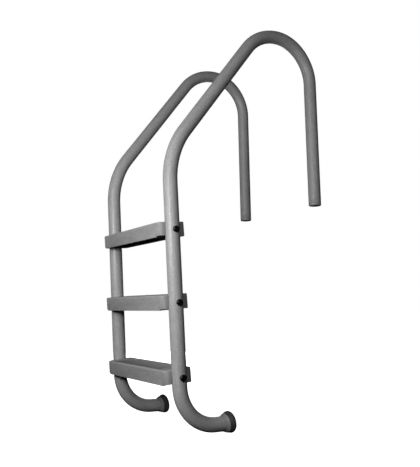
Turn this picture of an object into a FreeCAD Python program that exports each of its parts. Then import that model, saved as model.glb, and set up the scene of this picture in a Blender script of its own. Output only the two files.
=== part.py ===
import FreeCAD, Part
import Sketcher
import math
import os

# In-ground pool ladder: two bent tube rails, three moulded treads bolted between
# them, wall bumpers on the rail feet and plugs in the ends that stand in the deck.
#
# Frame: the origin is midway between the lower ends of the two deck legs.
# +Z is up, +Y points from the water towards the deck and +X is to the right of a
# bather who faces the deck. Everything is in millimetres.

Vector = FreeCAD.Vector
doc = FreeCAD.newDocument("pool_ladder")

SIZES = [
    ("tube_radius", 24.15, "outside radius of the rail tube"),
    ("tube_wall", 6.35, "wall of the rail tube"),
    ("rail_offset", 222.0, "from the middle plane to each rail axis"),
    ("deck_leg_length", 485.4, "straight deck leg, above its plug"),
    ("grab_radius", 155.5, "axis radius where the deck leg turns over"),
    ("grab_turn", 92.3, "degrees turned there"),
    ("crown_radius", 202.6, "axis radius at the top of the handrail"),
    ("crown_turn", 50.0, "degrees turned there"),
    ("slope_length", 454.6, "straight handrail that slopes to the water"),
    ("knee_radius", 281.5, "axis radius where the slope becomes the leg"),
    ("knee_turn", 40.0, "degrees turned there"),
    ("water_leg_length", 659.0, "straight leg that carries the treads"),
    ("foot_radius", 137.4, "axis radius of the foot bend"),
    ("foot_turn", 84.8, "degrees turned there"),
    ("foot_length", 55.0, "straight end of the foot, partly inside its bumper"),
    ("tread_drop", 155.5, "from the start of the water leg to the top tread"),
    ("tread_pitch", 235.2, "from tread to tread, along the leg"),
    ("tread_lean", 1.9, "degrees that a tread's rear rises above square to the leg"),
    ("tread_forward", 2.2, "from the leg's axis forward to the middle of the tread"),
    ("tread_length", 442.0, "overall length of a tread"),
    ("tread_depth", 97.0, "front to back size of a tread"),
    ("tread_height", 48.5, "height of the tread's front skirt"),
    ("front_corner", 17.0, "radius of the upright corners in front"),
    ("rear_corner", 5.0, "radius of the upright corners at the rear"),
    ("tread_top_round", 4.0, "radius of the top edge"),
    ("tread_foot_round", 1.5, "radius of the skirt's lower edge"),
    ("tread_skin", 4.0, "wall of the moulding"),
    ("well_depth", 4.0, "depth of the non-slip well in the top"),
    ("well_length", 330.0, "length of the well"),
    ("well_width", 81.0, "width of the well"),
    ("well_corner", 6.0, "corner radius of the well"),
    ("grip_count", 9, "number of non-slip ribs"),
    ("grip_width", 2.4, "width of a non-slip rib"),
    ("grip_height", 1.8, "height of a non-slip rib above the well"),
    ("grip_length", 318.0, "length of a non-slip rib"),
    ("grip_pitch", 8.0, "spacing of the non-slip ribs"),
    ("hollow_length", 344.0, "length of the hollow under the tread"),
    ("web_thickness", 3.0, "thickness of a stiffening web"),
    ("web_depth", 16.0, "how far a web hangs below the top plate"),
    ("web_count", 3, "number of cross webs"),
    ("web_pitch", 86.0, "spacing of the cross webs"),
    ("end_relief", 4.0, "how much higher the front skirt stops at its ends"),
    ("relief_length", 21.0, "length of that step, in front of each rail"),
    ("saddle_clearance", 0.1, "gap between the rail and the tread's saddle"),
    ("bolt_drop", 3.0, "bolt axis below the middle of the tread"),
    ("bolt_radius", 4.0, "M8 shank"),
    ("bolt_length", 75.0, "under the head"),
    ("head_radius", 7.0, "low button head"),
    ("head_height", 3.6, "low button head"),
    ("head_rim", 0.4, "upright rim left below the rounding of the head"),
    ("key_width", 5.0, "across the flats of the hex key socket"),
    ("key_depth", 2.2, "depth of the hex key socket"),
    ("hole_radius", 4.5, "clearance hole for the bolt"),
    ("nut_width", 13.0, "across the flats of the nut"),
    ("nut_height", 6.8, "thickness of the nut"),
    ("nut_bore", 4.05, "bore radius of the nut"),
    ("nut_pocket_width", 13.3, "across the flats of the nut's pocket"),
    ("nut_pocket_depth", 8.4, "depth of the nut's pocket"),
    ("cap_radius", 11.0, "bolt cap and the washer that it snaps on"),
    ("cap_height", 5.2, "bolt cap above its washer"),
    ("cap_cavity_radius", 8.5, "room for the bolt head"),
    ("cap_cavity_height", 3.9, "room for the bolt head"),
    ("cap_round", 3.6, "radius of the cap's rim"),
    ("washer_thickness", 1.2, "washer at the crest of the tube"),
    ("washer_bore", 4.3, "bore radius of the washer"),
    ("bumper_radius", 35.3, "largest radius of the bumper"),
    ("bumper_lip_radius", 26.4, "radius of the bumper's thin rear lip"),
    ("bumper_flare", 23.0, "length over which the bumper widens"),
    ("bumper_length", 35.0, "length of the bumper"),
    ("bumper_round", 9.0, "radius of the bumper's front edge"),
    ("bumper_engagement", 23.0, "length of foot inside the bumper"),
    ("bumper_tilt", 10.0, "degrees that the bumper's face tips up from the foot's axis"),
    ("socket_lead", 6.0, "how far behind the rear lip the socket's cut starts"),
    ("bumper_clearance", 0.1, "gap between the foot and the bumper's socket"),
    ("plug_flange", 9.0, "height of the plug's flange, below the tube"),
    ("plug_round", 4.0, "radius of the flange's lower edge"),
    ("plug_spigot_radius", 17.7, "spigot inside the tube"),
    ("plug_spigot_wall", 3.0, "wall of the spigot"),
    ("plug_spigot_length", 26.0, "length of the spigot"),
]

TREADS = ["top", "middle", "bottom"]
SIDES = {"left": -1, "right": 1}
UPRIGHT = FreeCAD.Rotation()
TOOL_OVERLAP = 1.0  # how far a cutting tool passes through the face that it cuts

sheet = doc.addObject("Spreadsheet::Sheet", "sizes")
for row, (alias, number, meaning) in enumerate(SIZES, start=1):
    sheet.set(f"A{row}", meaning)
    sheet.set(f"B{row}", str(number))
    sheet.setAlias(f"B{row}", alias)
doc.recompute()

parts = []


def size(alias):
    return float(sheet.get(alias))


def keep(piece, placement):
    """Set a finished sub-part in its place and list it for export."""
    piece.Placement = placement
    parts.append(piece)


# ---------------------------------------------------------------- sketch helpers


def new_sketch(body, name, role, offset=None):
    """A sketch on one of the body's own origin planes."""
    plane = next(f for f in body.Origin.OriginFeatures if f.Role == role)
    sketch = body.newObject("Sketcher::SketchObject", name)
    sketch.AttachmentSupport = [(plane, "")]
    sketch.MapMode = "FlatFace"
    if offset is not None:
        sketch.AttachmentOffset = offset
    return sketch


def drive(sketch, constraint, name, formula):
    """Add a dimension and bind it to the sheet."""
    index = sketch.addConstraint(constraint)
    sketch.renameConstraint(index, name)
    sketch.setExpression(f"Constraints.{name}", formula)


def add_circle(sketch, radius_formula, radius, centre=(0.0, 0.0)):
    """A circle on the sketch's X axis, with a driven radius."""
    circle = Part.Circle(Vector(centre[0], centre[1], 0), Vector(0, 0, 1), radius)
    index = sketch.addGeometry(circle, False)
    drive(sketch, Sketcher.Constraint("Radius", index, radius), f"radius_{index}", radius_formula)
    return index


def centre_on_origin(sketch, index):
    sketch.addConstraint(Sketcher.Constraint("Coincident", index, 3, -1, 1))


def add_polyline(sketch, points):
    """A closed outline of straight lines; returns the index of each line."""
    lines = []
    for start, end in zip(points, points[1:] + points[:1]):
        line = Part.LineSegment(Vector(start[0], start[1], 0), Vector(end[0], end[1], 0))
        lines.append(sketch.addGeometry(line, False))
    for first, second in zip(lines, lines[1:] + lines[:1]):
        sketch.addConstraint(Sketcher.Constraint("Coincident", first, 2, second, 1))
    return lines


def add_rectangle(sketch, width_formula, width, height_formula, height):
    """A rectangle centred on the sketch's origin, with both sizes driven."""
    x = width / 2
    y = height / 2
    lines = add_polyline(sketch, [(-x, -y), (x, -y), (x, y), (-x, y)])
    for index in (lines[0], lines[2]):
        sketch.addConstraint(Sketcher.Constraint("Horizontal", index))
    for index in (lines[1], lines[3]):
        sketch.addConstraint(Sketcher.Constraint("Vertical", index))
    sketch.addConstraint(Sketcher.Constraint("Symmetric", lines[0], 1, lines[2], 1, -1, 1))
    across = Sketcher.Constraint("DistanceX", lines[0], 1, lines[0], 2, width)
    drive(sketch, across, "width", width_formula)
    upwards = Sketcher.Constraint("DistanceY", lines[1], 1, lines[1], 2, height)
    drive(sketch, upwards, "height", height_formula)


def add_sized_rectangle(sketch, width_alias, height_alias):
    """A centred rectangle whose sides are two of the sheet's sizes."""
    width_formula = f"sizes.{width_alias}"
    height_formula = f"sizes.{height_alias}"
    add_rectangle(sketch, width_formula, size(width_alias), height_formula, size(height_alias))


def add_hexagon(sketch, flats_formula, flats, centre=(0.0, 0.0)):
    """A hexagon with corners up and down; its inscribed circle is driven."""
    corner = flats / 2 / math.cos(math.radians(30))
    points = []
    for step in range(6):
        angle = math.radians(90 + 60 * step)
        points.append((centre[0] + corner * math.cos(angle), centre[1] + corner * math.sin(angle)))
    lines = add_polyline(sketch, points)
    rim = Part.Circle(Vector(centre[0], centre[1], 0), Vector(0, 0, 1), flats / 2)
    circle = sketch.addGeometry(rim, True)
    for index in lines:
        sketch.addConstraint(Sketcher.Constraint("Tangent", index, circle))
    for first, second in zip(lines, lines[1:4]):
        sketch.addConstraint(Sketcher.Constraint("Equal", first, second))
    sketch.addConstraint(Sketcher.Constraint("Vertical", lines[1]))
    drive(sketch, Sketcher.Constraint("Diameter", circle, flats), "flats", flats_formula)
    return circle


def extrude(body, kind, name, sketch, length_formula=None, both_ways=False, reverse=False):
    """A Pad or Pocket; with no length it goes through everything."""
    feature = body.newObject(f"PartDesign::{kind}", name)
    feature.Profile = sketch
    if length_formula is None:
        feature.Type = "ThroughAll"
    else:
        feature.setExpression("Length", length_formula)
    if both_ways:
        feature.SideType = "Symmetric"
    feature.Reversed = reverse
    return feature


def revolve(body, name, sketch):
    """A full turn about the sketch's upright axis."""
    feature = body.newObject("PartDesign::Revolution", name)
    feature.Profile = sketch
    feature.ReferenceAxis = (sketch, ["V_Axis"])
    feature.Angle = 360.0
    return feature


def repeat(body, name, feature, sketch, axis, count, pitch_formula):
    """Copies of a feature along one of its sketch's axes."""
    pattern = body.newObject("PartDesign::LinearPattern", name)
    pattern.Originals = [feature]
    pattern.Direction = (sketch, [axis])
    pattern.Occurrences = count
    pattern.Mode = "Spacing"
    pattern.setExpression("Offset", pitch_formula)
    body.Tip = pattern
    return pattern


def round_edges(body, name, base, wanted, radius_formula):
    """Fillet the edges of the base feature that the test picks."""
    doc.recompute()
    names = []
    for number, edge in enumerate(base.Shape.Edges, start=1):
        if wanted(edge):
            names.append(f"Edge{number}")
    fillet = body.newObject("PartDesign::Fillet", name)
    fillet.Base = (base, names)
    fillet.setExpression("Radius", radius_formula)
    return fillet


def is_upright(edge):
    start, end = (v.Point for v in (edge.Vertexes[0], edge.Vertexes[-1]))
    is_straight_up = abs(start.x - end.x) < 1e-6 and abs(start.y - end.y) < 1e-6
    return is_straight_up and abs(start.z - end.z) > 1


def is_front_upright(edge):
    return is_upright(edge) and edge.Vertexes[0].Y < 0


def is_rear_upright(edge):
    return is_upright(edge) and edge.Vertexes[0].Y > 0


def lies_at(level):
    """A test for edges that lie wholly in one horizontal plane."""

    def is_level(edge):
        box = edge.BoundBox
        return abs(box.ZMin - level) < 1e-4 and abs(box.ZMax - level) < 1e-4

    return is_level


# ----------------------------------------------------------------- the rail route

# Each run is a straight (its length) or a bend (its radius and turn). All the bends
# turn the same way, anticlockwise when +Y points right and +Z up.
RUNS = [
    ("straight", "deck_leg_length"),
    ("bend", "grab"),
    ("bend", "crown"),
    ("straight", "slope_length"),
    ("bend", "knee"),
    ("straight", "water_leg_length"),
    ("bend", "foot"),
    ("straight", "foot_length"),
]
WATER_LEG = 5


def trace_rail():
    """The start, heading and curve of every run, in the rail's own Y and Z."""
    point = Vector(0, 0, 0)
    heading = 90.0
    traced = []
    for kind, name in RUNS:
        start = (Vector(point), heading)
        if kind == "straight":
            along = Vector(math.cos(math.radians(heading)), math.sin(math.radians(heading)), 0)
            end = point + along * size(name)
            curve = Part.LineSegment(point, end)
        else:
            radius = size(f"{name}_radius")
            first = math.radians(heading - 90)
            last = first + math.radians(size(f"{name}_turn"))
            centre = point - Vector(math.cos(first), math.sin(first), 0) * radius
            circle = Part.Circle(centre, Vector(0, 0, 1), radius)
            curve = Part.ArcOfCircle(circle, first, last)
            end = centre + Vector(math.cos(last), math.sin(last), 0) * radius
            heading += size(f"{name}_turn")
        traced.append((start, curve))
        point = end
    return traced, point, heading


def in_space(point):
    """From the rail's plane to the ladder's frame, on the middle plane."""
    return Vector(0, point.x, point.y + size("plug_flange"))


def heading_vector(heading):
    """A unit vector in the Y-Z plane; 0 degrees is +Y and 90 is +Z."""
    return Vector(0, math.cos(math.radians(heading)), math.sin(math.radians(heading)))


ROUTE, FOOT_END, FOOT_HEADING = trace_rail()
(LEG_START, LEG_HEADING), _ = ROUTE[WATER_LEG]
LEG_DOWN = heading_vector(LEG_HEADING)
LEG_UP = LEG_DOWN * -1
TREAD_TILT = LEG_HEADING - 270.0 + size("tread_lean")


def tread_point(number):
    """Where a tread, counted from the top, crosses the water legs' axes."""
    distance = size("tread_drop") + number * size("tread_pitch")
    return in_space(LEG_START) + LEG_DOWN * distance


# ------------------------------------------------------------------- the sub-parts


def make_rail(side_name):
    """A bent tube with three cross holes for the tread bolts."""
    body = doc.addObject("PartDesign::Body", f"{side_name}_rail")
    path = new_sketch(body, "Route", "YZ_Plane")
    for (kind, name), (_, curve) in zip(RUNS, ROUTE):
        index = path.addGeometry(curve, False)
        if index == 0:
            path.addConstraint(Sketcher.Constraint("Coincident", index, 1, -1, 1))
            path.addConstraint(Sketcher.Constraint("Vertical", index))
        else:
            path.addConstraint(Sketcher.Constraint("Tangent", index - 1, 2, index, 1))
        if kind == "straight":
            drive(path, Sketcher.Constraint("Distance", index, size(name)), name, f"sizes.{name}")
        else:
            radius = Sketcher.Constraint("Radius", index, size(f"{name}_radius"))
            drive(path, radius, f"{name}_radius", f"sizes.{name}_radius")
            turn = Sketcher.Constraint("Angle", index, math.radians(size(f"{name}_turn")))
            drive(path, turn, f"{name}_turn", f"sizes.{name}_turn * 1 deg")

    section = new_sketch(body, "Section", "XY_Plane")
    outside = add_circle(section, "sizes.tube_radius", size("tube_radius"))
    bore = size("tube_radius") - size("tube_wall")
    inside = add_circle(section, "sizes.tube_radius - sizes.tube_wall", bore)
    centre_on_origin(section, outside)
    centre_on_origin(section, inside)
    doc.recompute()

    tube = body.newObject("PartDesign::AdditivePipe", "Tube")
    tube.Profile = section
    tube.Spine = (path, [f"Edge{number + 1}" for number in range(len(RUNS))])
    doc.recompute()

    # The holes' sketch runs down the water leg: its X axis is the leg's axis.
    turn = FreeCAD.Rotation(Vector(0, 0, 1), LEG_HEADING)
    leg = FreeCAD.Placement(LEG_START, turn)
    holes = new_sketch(body, "Bolt_holes", "YZ_Plane", leg)
    for number in range(len(TREADS)):
        distance = size("tread_drop") + size("bolt_drop") + number * size("tread_pitch")
        index = add_circle(holes, "sizes.hole_radius", size("hole_radius"), (distance, 0))
        holes.addConstraint(Sketcher.Constraint("PointOnObject", index, 3, -1))
        along = Sketcher.Constraint("DistanceX", -1, 1, index, 3, distance)
        formula = f"sizes.tread_drop + sizes.bolt_drop + {number} * sizes.tread_pitch"
        drive(holes, along, f"distance_{number}", formula)
    extrude(body, "Pocket", "Bolt_drilling", holes, "4 * sizes.tube_radius", both_ways=True)

    across = SIDES[side_name] * size("rail_offset")
    keep(body, FreeCAD.Placement(Vector(across, 0, size("plug_flange")), UPRIGHT))


def make_tread(tread_name, number):
    """An open-bottomed moulding whose ends are saddles for the rails."""
    body = doc.addObject("PartDesign::Body", f"{tread_name}_tread")
    top = size("tread_height") / 2

    outline = new_sketch(body, "Outline", "XY_Plane")
    add_sized_rectangle(outline, "tread_length", "tread_depth")
    block = extrude(body, "Pad", "Block", outline, "sizes.tread_height", both_ways=True)
    front = round_edges(body, "Front_corners", block, is_front_upright, "sizes.front_corner")
    rear = round_edges(body, "Rear_corners", front, is_rear_upright, "sizes.rear_corner")
    brim = round_edges(body, "Top_edge", rear, lies_at(top), "sizes.tread_top_round")
    round_edges(body, "Lower_edge", brim, lies_at(-top), "sizes.tread_foot_round")

    above = FreeCAD.Placement(Vector(0, 0, top), UPRIGHT)
    below = FreeCAD.Placement(Vector(0, 0, -top), UPRIGHT)

    well = new_sketch(body, "Well_outline", "XY_Plane", above)
    add_sized_rectangle(well, "well_length", "well_width")
    pocket = extrude(body, "Pocket", "Well", well, "sizes.well_depth")
    half_length = size("well_length") / 2

    def is_well_corner(edge):
        return is_upright(edge) and abs(abs(edge.Vertexes[0].X) - half_length) < 1e-4

    round_edges(body, "Well_corners", pocket, is_well_corner, "sizes.well_corner")

    # The non-slip ribs stand in the well. The foremost one is drawn and repeated.
    ribs = round(size("grip_count"))
    well_floor = top - size("well_depth")
    first = Vector(0, -(ribs - 1) / 2 * size("grip_pitch"), well_floor)
    grip_outline = new_sketch(body, "Grip_outline", "XY_Plane", FreeCAD.Placement(first, UPRIGHT))
    add_sized_rectangle(grip_outline, "grip_length", "grip_width")
    grip = extrude(body, "Pad", "Grip", grip_outline, "sizes.grip_height")
    repeat(body, "Grips", grip, grip_outline, "V_Axis", ribs, "sizes.grip_pitch")

    hollow = new_sketch(body, "Hollow_outline", "XY_Plane", below)
    width = size("tread_depth") - 2 * size("tread_skin")
    width_formula = "sizes.tread_depth - 2 * sizes.tread_skin"
    length = size("hollow_length")
    add_rectangle(hollow, "sizes.hollow_length", length, width_formula, width)
    depth = "sizes.tread_height - sizes.well_depth - sizes.tread_skin"
    extrude(body, "Pocket", "Hollow", hollow, depth, reverse=True)

    # Webs hang below the top plate: one along the tread and the others across it.
    plate_under = well_floor - size("tread_skin")
    web_top = FreeCAD.Placement(Vector(0, 0, plate_under), UPRIGHT)
    spine_outline = new_sketch(body, "Spine_outline", "XY_Plane", web_top)
    add_sized_rectangle(spine_outline, "hollow_length", "web_thickness")
    extrude(body, "Pad", "Spine_web", spine_outline, "sizes.web_depth", reverse=True)
    webs = round(size("web_count"))
    first = Vector(-(webs - 1) / 2 * size("web_pitch"), 0, plate_under)
    web_outline = new_sketch(body, "Web_outline", "XY_Plane", FreeCAD.Placement(first, UPRIGHT))
    thickness = size("web_thickness")
    add_rectangle(web_outline, "sizes.web_thickness", thickness, width_formula, width)
    web = extrude(body, "Pad", "Cross_web", web_outline, "sizes.web_depth", reverse=True)
    repeat(body, "Cross_webs", web, web_outline, "H_Axis", webs, "sizes.web_pitch")

    # The saddles' sketch leans with the legs, which aren't quite square to the tread.
    forward = size("tread_forward")
    lean = size("tread_lean")
    on_leg = FreeCAD.Placement(Vector(0, forward, 0), FreeCAD.Rotation(Vector(1, 0, 0), -lean))
    saddles = new_sketch(body, "Saddle_outline", "XY_Plane", on_leg)
    for side in SIDES.values():
        radius = size("tube_radius") + size("saddle_clearance")
        across = side * size("rail_offset")
        radius_formula = "sizes.tube_radius + sizes.saddle_clearance"
        index = add_circle(saddles, radius_formula, radius, (across, 0))
        saddles.addConstraint(Sketcher.Constraint("PointOnObject", index, 3, -1))
        ends = (-1, 1, index, 3) if side > 0 else (index, 3, -1, 1)
        offset = Sketcher.Constraint("DistanceX", *ends, size("rail_offset"))
        drive(saddles, offset, f"offset_{index}", "sizes.rail_offset")
    extrude(body, "Pocket", "Saddles", saddles, "2 * sizes.tread_height", both_ways=True)

    # In front of each rail the skirt's lower edge steps up.
    for side_name, side in SIDES.items():
        centre = side * (size("tread_length") - size("relief_length")) / 2
        place = FreeCAD.Placement(Vector(centre, -size("tread_depth") / 4, -top), UPRIGHT)
        relief = new_sketch(body, f"{side_name}_relief_outline", "XY_Plane", place)
        length = size("relief_length")
        half_depth = size("tread_depth") / 2
        formula = "sizes.tread_depth / 2"
        add_rectangle(relief, "sizes.relief_length", length, formula, half_depth)
        extrude(body, "Pocket", f"{side_name}_relief", relief, "sizes.end_relief", reverse=True)

    # The bolt axis crosses the leg's axis a little below the middle of the tread.
    bolt_y = forward + size("bolt_drop") * math.sin(math.radians(lean))
    bolt_z = size("bolt_drop") * math.cos(math.radians(lean))
    drilling = new_sketch(body, "Bolt_hole", "YZ_Plane")
    circle = add_circle(drilling, "sizes.hole_radius", size("hole_radius"), (bolt_y, -bolt_z))
    place_bolt_axis(drilling, circle, bolt_y, bolt_z)
    extrude(body, "Pocket", "Bolt_drilling", drilling, "2 * sizes.tread_length", both_ways=True)

    pockets = new_sketch(body, "Nut_outline", "YZ_Plane")
    flats = size("nut_pocket_width")
    circle = add_hexagon(pockets, "sizes.nut_pocket_width", flats, (bolt_y, -bolt_z))
    place_bolt_axis(pockets, circle, bolt_y, bolt_z)
    reach = "sizes.hollow_length + 2 * sizes.nut_pocket_depth"
    extrude(body, "Pocket", "Nut_pockets", pockets, reach, both_ways=True)

    tilt = FreeCAD.Rotation(Vector(1, 0, 0), TREAD_TILT)
    centre = tread_point(number) - tilt.multVec(Vector(0, forward, 0))
    keep(body, FreeCAD.Placement(centre, tilt))


def place_bolt_axis(sketch, circle, bolt_y, bolt_z):
    """Drive a circle's centre to the bolt axis, in a tread's own Y and Z."""
    sideways = Sketcher.Constraint("DistanceX", -1, 1, circle, 3, bolt_y)
    lean = "sizes.tread_lean * 1 deg"
    drive(sketch, sideways, "bolt_y", f"sizes.tread_forward + sizes.bolt_drop * sin({lean})")
    downwards = Sketcher.Constraint("DistanceY", circle, 3, -1, 1, bolt_z)
    drive(sketch, downwards, "bolt_z", f"sizes.bolt_drop * cos({lean})")


def make_revolved(label, outline):
    """A body turned about its own Z axis from the corners of a closed half outline."""
    body = doc.addObject("PartDesign::Body", label)
    sketch = new_sketch(body, "Half_outline", "XZ_Plane")
    lines = add_polyline(sketch, [(radius, height) for radius, height, *_ in outline])
    for number, (index, point) in enumerate(zip(lines, outline)):
        radius, height, radius_formula, height_formula = point
        if radius == 0:
            sketch.addConstraint(Sketcher.Constraint("PointOnObject", index, 1, -2))
        else:
            distance = Sketcher.Constraint("DistanceX", -1, 1, index, 1, radius)
            drive(sketch, distance, f"radius_{number}", radius_formula)
        if height == 0:
            sketch.addConstraint(Sketcher.Constraint("PointOnObject", index, 1, -1))
        elif height > 0:
            distance = Sketcher.Constraint("DistanceY", -1, 1, index, 1, height)
            drive(sketch, distance, f"height_{number}", height_formula)
        else:
            distance = Sketcher.Constraint("DistanceY", index, 1, -1, 1, -height)
            drive(sketch, distance, f"height_{number}", height_formula)
    return body, revolve(body, "Turned", sketch)


def round_rim(body, name, base, radius, height, formula):
    """Round the circular edge of that radius at that height."""

    def is_rim(edge):
        circle = isinstance(edge.Curve, Part.Circle) and abs(edge.Curve.Radius - radius) < 1e-4
        return circle and lies_at(height)(edge)

    return round_edges(body, name, base, is_rim, formula)


def corner(radius_formula, height_formula, radius, height):
    """One corner of a half outline, with the formulas that drive it."""
    return (radius, height, radius_formula, height_formula)


def make_plug(side_name):
    """A flush plug that closes the lower end of a deck leg."""
    tube = size("tube_radius")
    flange = size("plug_flange")
    spigot = size("plug_spigot_radius")
    bore = spigot - size("plug_spigot_wall")
    reach = flange + size("plug_spigot_length")
    reach_formula = "sizes.plug_flange + sizes.plug_spigot_length"
    bore_formula = "sizes.plug_spigot_radius - sizes.plug_spigot_wall"
    outline = [
        corner(None, None, 0, 0),
        corner("sizes.tube_radius", None, tube, 0),
        corner("sizes.tube_radius", "sizes.plug_flange", tube, flange),
        corner("sizes.plug_spigot_radius", "sizes.plug_flange", spigot, flange),
        corner("sizes.plug_spigot_radius", reach_formula, spigot, reach),
        corner(bore_formula, reach_formula, bore, reach),
        corner(bore_formula, "sizes.plug_flange", bore, flange),
        corner(None, "sizes.plug_flange", 0, flange),
    ]
    body, turned = make_revolved(f"{side_name}_leg_plug", outline)
    round_rim(body, "Lower_edge", turned, tube, 0, "sizes.plug_round")
    across = SIDES[side_name] * size("rail_offset")
    keep(body, FreeCAD.Placement(Vector(across, 0, 0), UPRIGHT))


def make_bumper(side_name):
    """A flared end piece that keeps the foot off the pool wall."""
    lip = size("bumper_lip_radius")
    wide = size("bumper_radius")
    flare = size("bumper_flare")
    length = size("bumper_length")
    outline = [
        corner(None, None, 0, 0),
        corner("sizes.bumper_lip_radius", None, lip, 0),
        corner("sizes.bumper_radius", "sizes.bumper_flare", wide, flare),
        corner("sizes.bumper_radius", "sizes.bumper_length", wide, length),
        corner(None, "sizes.bumper_length", 0, length),
    ]
    body, turned = make_revolved(f"{side_name}_bumper", outline)
    round_rim(body, "Front_edge", turned, wide, length, "sizes.bumper_round")

    # The bumper's own Z axis points at the wall, tipped up from the foot's axis. Both
    # axes meet in the middle of the rear lip, where the socket for the foot opens.
    foot = heading_vector(FOOT_HEADING)
    outward = heading_vector(FOOT_HEADING + size("bumper_tilt"))
    turn = FreeCAD.Rotation(Vector(0, 0, 1), outward)
    inward_axis = turn.inverted().multVec(foot)
    start = inward_axis * -size("socket_lead")
    square_to_foot = FreeCAD.Placement(start, FreeCAD.Rotation(Vector(0, 0, 1), inward_axis))
    socket = new_sketch(body, "Socket_outline", "XY_Plane", square_to_foot)
    radius = size("tube_radius") + size("bumper_clearance")
    radius_formula = "sizes.tube_radius + sizes.bumper_clearance"
    centre_on_origin(socket, add_circle(socket, radius_formula, radius))
    depth = "sizes.socket_lead + sizes.bumper_engagement"
    extrude(body, "Pocket", "Socket", socket, depth, reverse=True)

    place = in_space(FOOT_END) - foot * size("bumper_engagement")
    place.x = SIDES[side_name] * size("rail_offset")
    keep(body, FreeCAD.Placement(place, turn))


def fastener_placement(number, side, outward):
    """On a tread bolt's axis, so far outward of the rail's axis, Z along the bolt."""
    centre = tread_point(number) + LEG_DOWN * size("bolt_drop")
    centre.x = side * (size("rail_offset") + outward)
    turn = FreeCAD.Rotation(LEG_UP, Vector(), Vector(side, 0, 0), "ZXY")
    return FreeCAD.Placement(centre, turn)


def make_bolt(label, placement):
    """A low button head bolt; its origin is under the head."""
    shank = size("bolt_radius")
    head = size("head_radius")
    high = size("head_height")
    long = size("bolt_length")
    outline = [
        corner(None, "sizes.bolt_length", 0, -long),
        corner("sizes.bolt_radius", "sizes.bolt_length", shank, -long),
        corner("sizes.bolt_radius", None, shank, 0),
        corner("sizes.head_radius", None, head, 0),
        corner("sizes.head_radius", "sizes.head_height", head, high),
        corner(None, "sizes.head_height", 0, high),
    ]
    body, turned = make_revolved(label, outline)
    round_rim(body, "Head_edge", turned, head, high, "sizes.head_height - sizes.head_rim")
    on_head = FreeCAD.Placement(Vector(0, 0, high), UPRIGHT)
    key = new_sketch(body, "Key_outline", "XY_Plane", on_head)
    circle = add_hexagon(key, "sizes.key_width", size("key_width"))
    centre_on_origin(key, circle)
    extrude(body, "Pocket", "Key_socket", key, "sizes.key_depth")
    keep(body, placement)


def make_cap(label, placement):
    """A domed cap over a bolt head; its origin is at its rim."""
    outer = size("cap_radius")
    high = size("cap_height")
    cavity = size("cap_cavity_radius")
    deep = size("cap_cavity_height")
    outline = [
        corner(None, "sizes.cap_cavity_height", 0, deep),
        corner("sizes.cap_cavity_radius", "sizes.cap_cavity_height", cavity, deep),
        corner("sizes.cap_cavity_radius", None, cavity, 0),
        corner("sizes.cap_radius", None, outer, 0),
        corner("sizes.cap_radius", "sizes.cap_height", outer, high),
        corner(None, "sizes.cap_height", 0, high),
    ]
    body, turned = make_revolved(label, outline)
    round_rim(body, "Dome_edge", turned, outer, high, "sizes.cap_round")
    keep(body, placement)


def new_cylinder(name, radius_formula, height_formula, placement):
    cylinder = doc.addObject("Part::Cylinder", name)
    cylinder.setExpression("Radius", radius_formula)
    cylinder.setExpression("Height", height_formula)
    cylinder.Placement = placement
    return cylinder


def new_cut(label, base, tool):
    cut = doc.addObject("Part::Cut", label)
    cut.Base = base
    cut.Tool = tool
    return cut


def make_washer(label, placement):
    """A disc hollowed to sit on the round tube; its origin is on the tube's axis."""
    start = FreeCAD.Placement()
    reach = "sizes.tube_radius + sizes.washer_thickness"
    disc = new_cylinder(f"{label}_disc", "sizes.cap_radius", reach, start)
    bore = new_cylinder(f"{label}_bore", "sizes.washer_bore", f"{reach} + {TOOL_OVERLAP}", start)
    ring = new_cut(f"{label}_ring", disc, bore)
    half_width = 2 * size("cap_radius")
    along_x = FreeCAD.Rotation(Vector(0, 0, 1), Vector(1, 0, 0))
    lying = FreeCAD.Placement(Vector(-half_width, 0, 0), along_x)
    tube = new_cylinder(f"{label}_tube", "sizes.tube_radius", "4 * sizes.cap_radius", lying)
    keep(new_cut(label, ring, tube), placement)


def make_nut(label, placement):
    """A hexagon nut held in the tread; its origin is on its outer face."""
    prism = doc.addObject("Part::Prism", f"{label}_prism")
    prism.Polygon = 6
    prism.setExpression("Circumradius", "sizes.nut_width / 2 / cos(30 deg)")
    prism.setExpression("Height", "sizes.nut_height")
    start = FreeCAD.Placement(Vector(0, 0, -TOOL_OVERLAP), UPRIGHT)
    height_formula = f"sizes.nut_height + {2 * TOOL_OVERLAP}"
    bore = new_cylinder(f"{label}_bore", "sizes.nut_bore", height_formula, start)
    keep(new_cut(label, prism, bore), placement)


def make_tread_fasteners(tread_name, number):
    """Bolt, saddle washer, nut and cap at both ends of a tread."""
    seat = size("tube_radius") + size("washer_thickness")
    pocket_floor = size("hollow_length") / 2 + size("nut_pocket_depth")
    nut_base = pocket_floor - size("nut_height") - size("rail_offset")
    for side_name, side in SIDES.items():
        prefix = f"{tread_name}_{side_name}"
        make_bolt(f"{prefix}_bolt", fastener_placement(number, side, seat))
        make_washer(f"{prefix}_saddle_washer", fastener_placement(number, side, 0))
        make_nut(f"{prefix}_nut", fastener_placement(number, side, nut_base))
        make_cap(f"{prefix}_bolt_cap", fastener_placement(number, side, seat))


# ------------------------------------------------------------------------ assembly

for side_name in SIDES:
    make_rail(side_name)
    make_plug(side_name)
    make_bumper(side_name)
for number, tread_name in enumerate(TREADS):
    make_tread(tread_name, number)
    make_tread_fasteners(tread_name, number)
doc.recompute()

# -------------------------------------------------------------------------- checks


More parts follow.
